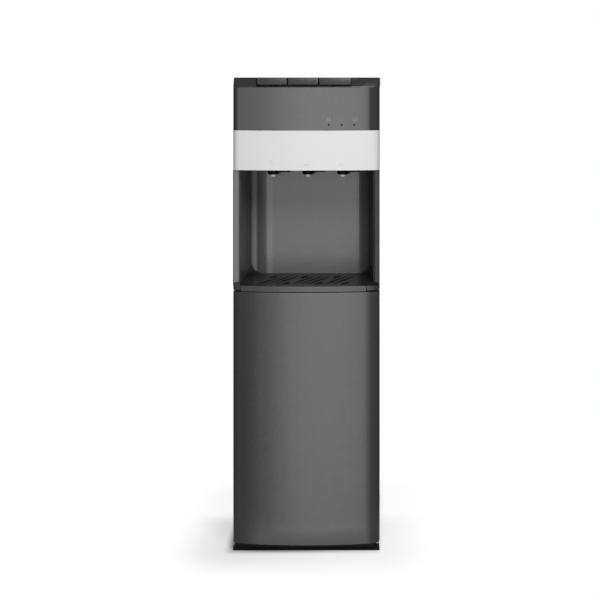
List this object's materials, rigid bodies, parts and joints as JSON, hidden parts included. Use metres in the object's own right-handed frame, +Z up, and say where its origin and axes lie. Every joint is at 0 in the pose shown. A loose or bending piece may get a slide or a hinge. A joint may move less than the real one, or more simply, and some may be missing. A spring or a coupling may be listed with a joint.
{
  "type": "water dispenser",
  "caption": "Tall floor-standing water dispenser with bottle compartment behind a bowed grey door, recessed alcove with taps, pale band, grey head panel and push keys on top.",
  "frame": {"origin": "centre of the footprint on the floor", "axes": "+Z up, -Y to the front (the door), +X to the right of a person who faces the door"},
  "size_m": [0.31, 0.36, 1],
  "materials": {
    "grey_plastic": "satin",
    "dark_plastic": "satin",
    "black_plastic": "matte",
    "white_plastic": "satin gloss",
    "painted_steel": "satin paint",
    "zinc_sheet": "zinc-coated sheet",
    "stainless": "satin",
    "copper": "drawn copper",
    "black_paint": "satin paint",
    "foam": "closed-cell foam",
    "silicone": "translucent hose",
    "board_green": "circuit board lacquer",
    "rubber": "matte",
    "lens": "clear",
    "red_key": "gloss",
    "green_key": "gloss"
  },
  "bodies": {
    "cabinet": {"foot_front_left": "rubber", "foot_front_right": "rubber", "foot_rear_left": "rubber", "foot_rear_right": "rubber", "base_pan": "black_plastic", "bottle_floor": "dark_plastic", "side_panel_left": "painted_steel", "side_panel_right": "painted_steel", "mid_shelf": "zinc_sheet", "compartment_back": "zinc_sheet", "rear_panel": "painted_steel", "door_hinge_bracket": "zinc_sheet", "alcove_back": "grey_plastic", "alcove_side_left": "grey_plastic", "alcove_side_right": "grey_plastic", "tray_surround": "dark_plastic", "head_floor": "black_plastic", "tap_shroud_cold": "black_plastic", "tap_shroud_room": "black_plastic", "tap_shroud_hot": "black_plastic", "tap_spout_cold": "white_plastic", "tap_spout_room": "white_plastic", "tap_spout_hot": "white_plastic", "valve_cold": "white_plastic", "valve_room": "white_plastic", "valve_hot": "white_plastic", "front_band": "white_plastic", "head_panel": "grey_plastic", "control_board": "board_green", "indicator_lenses": "lens", "top_cover": "painted_steel", "switch_board": "board_green", "cold_tank": "stainless", "cold_jacket": "foam", "evaporator_coil": "copper", "hot_tank": "stainless", "compressor": "black_paint", "condenser_tube": "black_paint", "condenser_grid": "black_paint", "filter_drier": "copper", "capillary_tube": "copper", "water_pump": "white_plastic", "bottle_probe": "white_plastic", "suction_hose": "silicone", "feed_hose": "silicone", "cold_hose": "silicone", "room_hose": "silicone", "hot_hose": "silicone", "cord_gland": "rubber"},
    "door": {"door_shell": "grey_plastic", "door_inner_panel": "dark_plastic", "door_magnet": "black_plastic"},
    "tray": {"drip_tray": "dark_plastic"},
    "grille": {"drip_grille": "dark_plastic"},
    "left_key": {"key_left": "dark_plastic"},
    "middle_key": {"key_middle": "dark_plastic"},
    "right_key": {"key_right": "dark_plastic"},
    "hot_rocker": {"hot_switch": "red_key"},
    "cold_rocker": {"cold_switch": "green_key"},
    "drain_plug": {"drain_cap": "black_plastic"}
  },
  "joints": [
    {"name": "door_hinge", "type": "hinge", "parent": "cabinet", "child": "door", "pos_m": [0.149, -0.149, 0.28], "axis": [0, 0, 1], "range_deg": [0, 110]},
    {"name": "drip_tray_slide", "type": "slide", "parent": "cabinet", "child": "tray", "axis": [0, -1, 0], "range_m": [0, 0.17]},
    {"name": "drip_grille_lift", "type": "slide", "parent": "tray", "child": "grille", "axis": [0, 0, 1], "range_m": [0, 0.05]},
    {"name": "key_left_press", "type": "slide", "parent": "cabinet", "child": "left_key", "axis": [0, 0, -1], "range_m": [0, 0.003], "stiffness_N_per_m": 400, "springref_m": -0.004},
    {"name": "key_middle_press", "type": "slide", "parent": "cabinet", "child": "middle_key", "axis": [0, 0, -1], "range_m": [0, 0.003], "stiffness_N_per_m": 400, "springref_m": -0.004},
    {"name": "key_right_press", "type": "slide", "parent": "cabinet", "child": "right_key", "axis": [0, 0, -1], "range_m": [0, 0.003], "stiffness_N_per_m": 400, "springref_m": -0.004},
    {"name": "hot_switch_tilt", "type": "hinge", "parent": "cabinet", "child": "hot_rocker", "pos_m": [0.08, 0.149, 0.86], "axis": [1, 0, 0], "range_deg": [-8, 8]},
    {"name": "cold_switch_tilt", "type": "hinge", "parent": "cabinet", "child": "cold_rocker", "pos_m": [0.11, 0.149, 0.86], "axis": [1, 0, 0], "range_deg": [-8, 8]},
    {"name": "drain_cap_pull", "type": "slide", "parent": "cabinet", "child": "drain_plug", "axis": [0, 1, 0], "range_m": [0, 0.02]}
  ]
}
